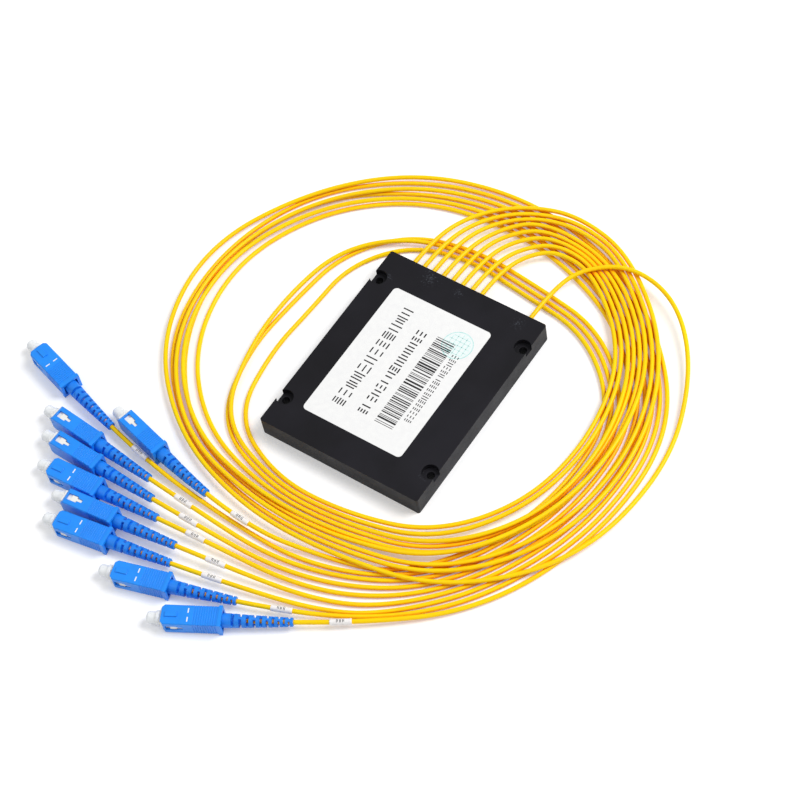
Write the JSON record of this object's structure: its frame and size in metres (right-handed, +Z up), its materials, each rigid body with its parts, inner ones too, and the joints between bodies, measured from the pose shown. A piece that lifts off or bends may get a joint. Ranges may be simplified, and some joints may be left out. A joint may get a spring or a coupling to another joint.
{
  "type": "fibre splitter",
  "caption": "Flat black splitter case with coiled yellow fibre pigtails that end in blue push-pull plugs with clear dust caps.",
  "frame": {"origin": "bottom centre of the case, on the plane it lies on", "axes": "+Y along the case towards the cable exits, +X across the case, +Z up out of the labelled face"},
  "size_m": [0.2717, 0.2588, 0.0102],
  "materials": {
    "case_plastic": "matt moulded ABS, fine spark texture",
    "label_paper": "matt white label paper",
    "tube_steel": "drawn steel tube",
    "silica": "polished silica chip",
    "plug_rubber": "black rubber",
    "fibre_buffer": "tight-buffered fibre, natural white",
    "sleeve_brass": "turned brass, nickel plated",
    "grip_blue": "blue moulded PBT, satin gloss",
    "frame_white": "white moulded PBT",
    "boot_rubber": "blue soft elastomer",
    "cap_clear": "milky translucent polyethylene",
    "cable_jacket": "yellow extruded cable jacket, satin",
    "ferrule_ceramic": "polished zirconia",
    "spring_steel": "stainless spring wire",
    "crimp_aluminium": "drawn aluminium",
    "sleeve_film": "white printed heat-shrink"
  },
  "bodies": {
    "splitter": {"case_tray": "case_plastic", "case_cover": "case_plastic", "label": "label_paper", "splitter_tube": "tube_steel", "splitter_chip": "silica", "tube_end_plugs": "plug_rubber", "inner_fibres": "fibre_buffer", "exit_sleeves": "sleeve_brass", "input_plug_frame": "frame_white", "input_boot": "boot_rubber", "input_cable": "cable_jacket", "output_1_plug_frame": "frame_white", "output_1_boot": "boot_rubber", "output_1_cable": "cable_jacket", "output_2_plug_frame": "frame_white", "output_2_boot": "boot_rubber", "output_2_cable": "cable_jacket", "output_3_plug_frame": "frame_white", "output_3_boot": "boot_rubber", "output_3_cable": "cable_jacket", "output_4_plug_frame": "frame_white", "output_4_boot": "boot_rubber", "output_4_cable": "cable_jacket", "output_5_plug_frame": "frame_white", "output_5_boot": "boot_rubber", "output_5_cable": "cable_jacket", "output_6_plug_frame": "frame_white", "output_6_boot": "boot_rubber", "output_6_cable": "cable_jacket", "output_7_plug_frame": "frame_white", "output_7_boot": "boot_rubber", "output_7_cable": "cable_jacket", "output_8_plug_frame": "frame_white", "output_8_boot": "boot_rubber", "output_8_cable": "cable_jacket", "ferrules": "ferrule_ceramic", "ferrule_springs": "spring_steel", "stop_rings": "sleeve_brass", "crimp_sleeves": "crimp_aluminium", "number_sleeves": "sleeve_film"},
    "input_grip_slider": {"input_grip": "grip_blue"},
    "input_cap": {"input_dust_cap": "cap_clear"},
    "output_1_grip_slider": {"output_1_grip": "grip_blue"},
    "output_1_cap": {"output_1_dust_cap": "cap_clear"},
    "output_2_grip_slider": {"output_2_grip": "grip_blue"},
    "output_2_cap": {"output_2_dust_cap": "cap_clear"},
    "output_3_grip_slider": {"output_3_grip": "grip_blue"},
    "output_3_cap": {"output_3_dust_cap": "cap_clear"},
    "output_4_grip_slider": {"output_4_grip": "grip_blue"},
    "output_4_cap": {"output_4_dust_cap": "cap_clear"},
    "output_5_grip_slider": {"output_5_grip": "grip_blue"},
    "output_5_cap": {"output_5_dust_cap": "cap_clear"},
    "output_6_grip_slider": {"output_6_grip": "grip_blue"},
    "output_6_cap": {"output_6_dust_cap": "cap_clear"},
    "output_7_grip_slider": {"output_7_grip": "grip_blue"},
    "output_7_cap": {"output_7_dust_cap": "cap_clear"},
    "output_8_grip_slider": {"output_8_grip": "grip_blue"},
    "output_8_cap": {"output_8_dust_cap": "cap_clear"}
  },
  "joints": [
    {"name": "input_grip_slide", "type": "slide", "parent": "splitter", "child": "input_grip_slider", "axis": [-0.8829, -0.4695, 0], "range_m": [-0.0018, 0]},
    {"name": "input_cap_pull", "type": "slide", "parent": "splitter", "child": "input_cap", "axis": [-0.8829, -0.4695, 0], "range_m": [0, 0.012]},
    {"name": "output_1_grip_slide", "type": "slide", "parent": "splitter", "child": "output_1_grip_slider", "axis": [-0.9613, -0.2756, 0], "range_m": [-0.0018, 0]},
    {"name": "output_1_cap_pull", "type": "slide", "parent": "splitter", "child": "output_1_cap", "axis": [-0.9613, -0.2756, 0], "range_m": [0, 0.012]},
    {"name": "output_2_grip_slide", "type": "slide", "parent": "splitter", "child": "output_2_grip_slider", "axis": [-0.9877, -0.1564, 0], "range_m": [-0.0018, 0]},
    {"name": "output_2_cap_pull", "type": "slide", "parent": "splitter", "child": "output_2_cap", "axis": [-0.9877, -0.1564, 0], "range_m": [0, 0.012]},
    {"name": "output_3_grip_slide", "type": "slide", "parent": "splitter", "child": "output_3_grip_slider", "axis": [-0.9945, -0.1045, 0], "range_m": [-0.0018, 0]},
    {"name": "output_3_cap_pull", "type": "slide", "parent": "splitter", "child": "output_3_cap", "axis": [-0.9945, -0.1045, 0], "range_m": [0, 0.012]},
    {"name": "output_4_grip_slide", "type": "slide", "parent": "splitter", "child": "output_4_grip_slider", "axis": [-0.9976, -0.0698, 0], "range_m": [-0.0018, 0]},
    {"name": "output_4_cap_pull", "type": "slide", "parent": "splitter", "child": "output_4_cap", "axis": [-0.9976, -0.0698, 0], "range_m": [0, 0.012]},
    {"name": "output_5_grip_slide", "type": "slide", "parent": "splitter", "child": "output_5_grip_slider", "axis": [-0.9994, 0.0349, 0], "range_m": [-0.0018, 0]},
    {"name": "output_5_cap_pull", "type": "slide", "parent": "splitter", "child": "output_5_cap", "axis": [-0.9994, 0.0349, 0], "range_m": [0, 0.012]},
    {"name": "output_6_grip_slide", "type": "slide", "parent": "splitter", "child": "output_6_grip_slider", "axis": [-0.9962, 0.0872, 0], "range_m": [-0.0018, 0]},
    {"name": "output_6_cap_pull", "type": "slide", "parent": "splitter", "child": "output_6_cap", "axis": [-0.9962, 0.0872, 0], "range_m": [0, 0.012]},
    {"name": "output_7_grip_slide", "type": "slide", "parent": "splitter", "child": "output_7_grip_slider", "axis": [-0.9613, 0.2756, 0], "range_m": [-0.0018, 0]},
    {"name": "output_7_cap_pull", "type": "slide", "parent": "splitter", "child": "output_7_cap", "axis": [-0.9613, 0.2756, 0], "range_m": [0, 0.012]},
    {"name": "output_8_grip_slide", "type": "slide", "parent": "splitter", "child": "output_8_grip_slider", "axis": [-0.9703, 0.2419, 0], "range_m": [-0.0018, 0]},
    {"name": "output_8_cap_pull", "type": "slide", "parent": "splitter", "child": "output_8_cap", "axis": [-0.9703, 0.2419, 0], "range_m": [0, 0.009]}
  ]
}
